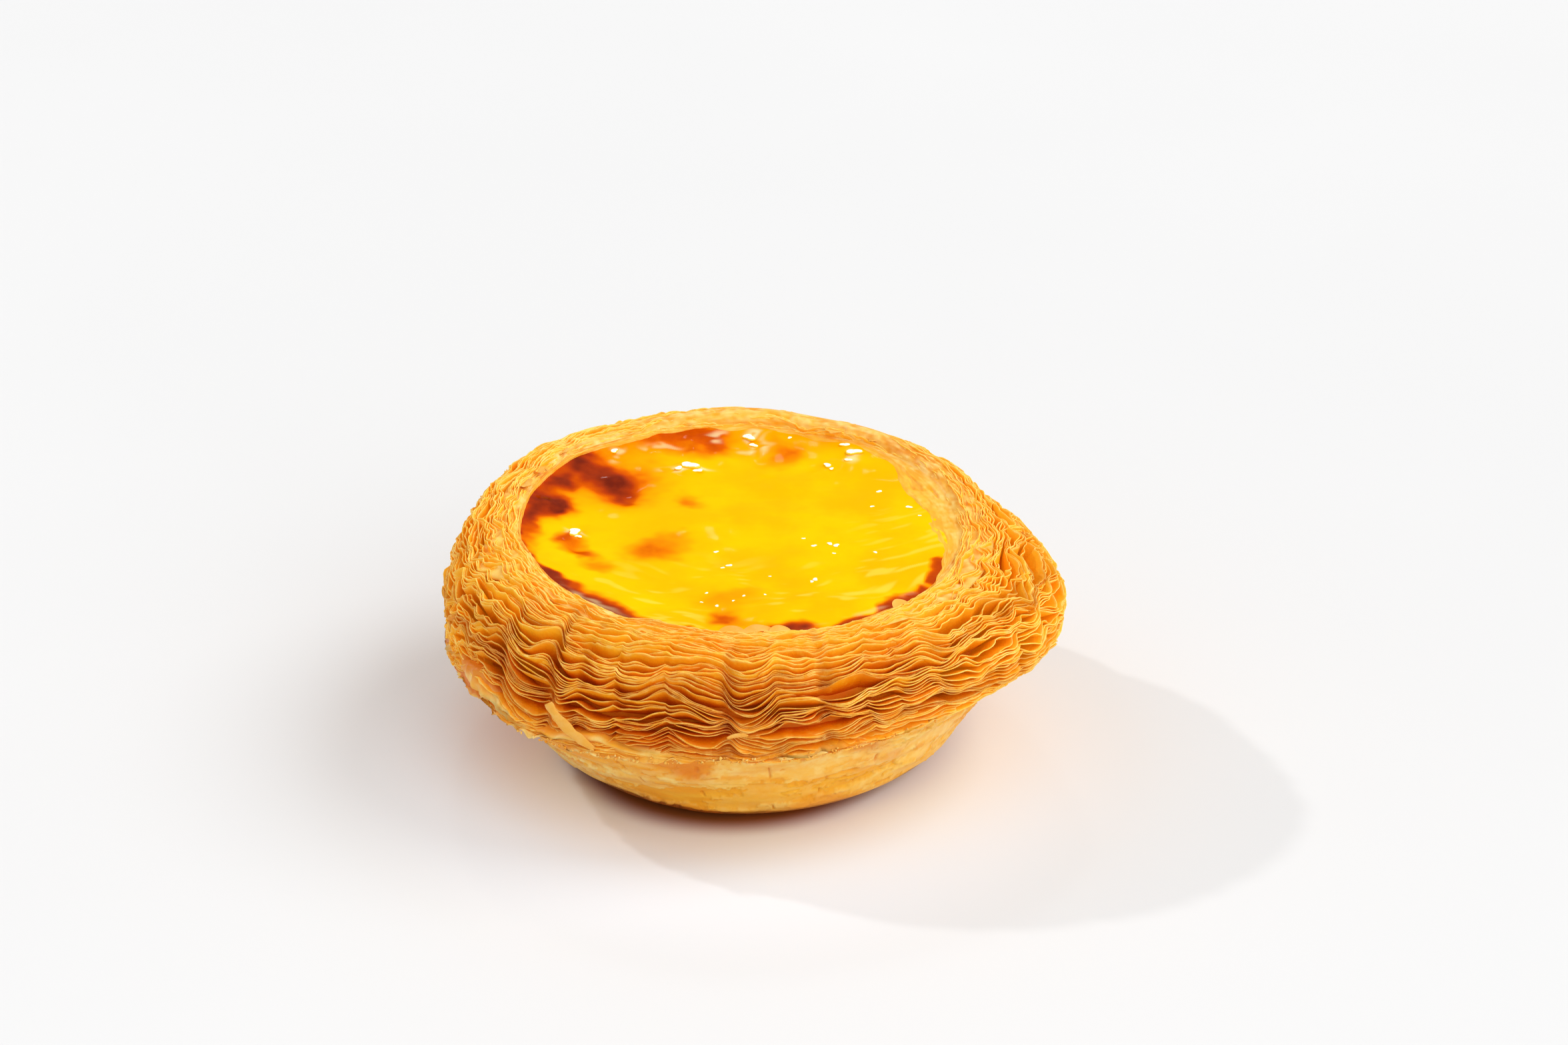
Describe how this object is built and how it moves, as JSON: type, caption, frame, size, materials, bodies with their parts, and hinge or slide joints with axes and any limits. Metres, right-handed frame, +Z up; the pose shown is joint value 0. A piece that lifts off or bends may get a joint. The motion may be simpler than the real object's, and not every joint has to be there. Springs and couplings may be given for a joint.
{
  "type": "egg custard tart",
  "caption": "Open egg custard tart: a slightly leaning cup of flaky layered pastry with a wavy bulging band, filled to the brim with glossy baked custard.",
  "frame": {"origin": "on the table, under the middle of the tart's outline", "axes": "+Z up; the viewer of the picture stands at -Y, +X is the viewer's right, where the outline is drawn out to a blunt point"},
  "size_m": [0.0794, 0.0754, 0.0301],
  "materials": {
    "pastry": "baked puff pastry: golden, dry, in many thin layers, browner in the folds, paler on the cone",
    "custard": "glossy egg-yellow custard with caramelised red-brown blisters near the rim"
  },
  "bodies": {
    "root": {"pastry_case": "pastry", "custard_filling": "custard"}
  },
  "joints": []
}
